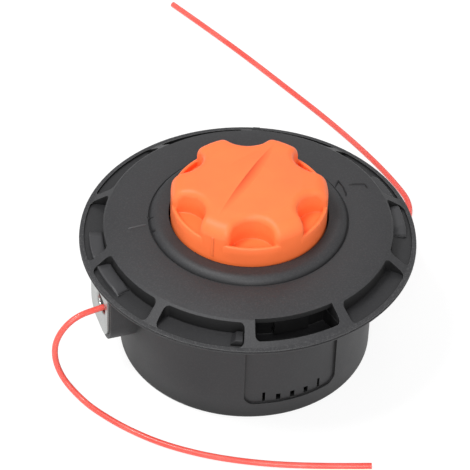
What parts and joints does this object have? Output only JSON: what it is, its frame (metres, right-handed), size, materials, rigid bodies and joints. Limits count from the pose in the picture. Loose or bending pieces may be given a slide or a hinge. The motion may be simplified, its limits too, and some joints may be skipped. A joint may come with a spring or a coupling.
{
  "type": "trimmer head",
  "caption": "Round bump-feed string trimmer head with a windowed rim cover, an orange push knob with finger hollows, metal side eyelets and cutting line.",
  "frame": {"origin": "middle of the drum's foot, on the arbor's axis, in the plane that the head stands on", "axes": "+Z along the arbor's axis from the drum's foot to the bump knob, X through the middles of the two line eyelets, Y square to both"},
  "size_m": [0.1722, 0.2964, 0.0795],
  "materials": {
    "drum_black": "fine satin moulding",
    "cover_black": "fine satin moulding with bright worn edges",
    "insert_steel": "turned steel",
    "eyelet_metal": "matte pressed metal",
    "spring_steel": "oiled spring wire",
    "washer_steel": "stamped steel",
    "spool_black": "satin moulding",
    "bush_white": "smooth acetal",
    "line_orange": "smooth extruded nylon",
    "knob_orange": "satin moulding"
  },
  "bodies": {
    "housing": {"drum_housing": "drum_black", "arbor_insert": "insert_steel", "eyelet_left": "eyelet_metal", "eyelet_right": "eyelet_metal", "compression_spring": "spring_steel", "windowed_cover": "cover_black", "line_left": "line_orange", "line_right": "line_orange"},
    "spring_seat": {"spring_washer": "washer_steel"},
    "spool_group": {"spool": "spool_black", "spool_bush": "bush_white", "wound_line_lower": "line_orange", "wound_line_upper": "line_orange", "bump_knob": "knob_orange"}
  },
  "joints": [
    {"name": "bump", "type": "slide", "parent": "housing", "child": "spring_seat", "axis": [0, 0, -1], "range_m": [0, 0.006], "stiffness_N_per_m": 1600, "springref_m": -0.012, "deforming": ["compression_spring"]},
    {"name": "spool_spin", "type": "hinge", "parent": "spring_seat", "child": "spool_group", "pos_m": [0, 0, 0.034], "axis": [0, 0, 1], "continuous": true}
  ]
}
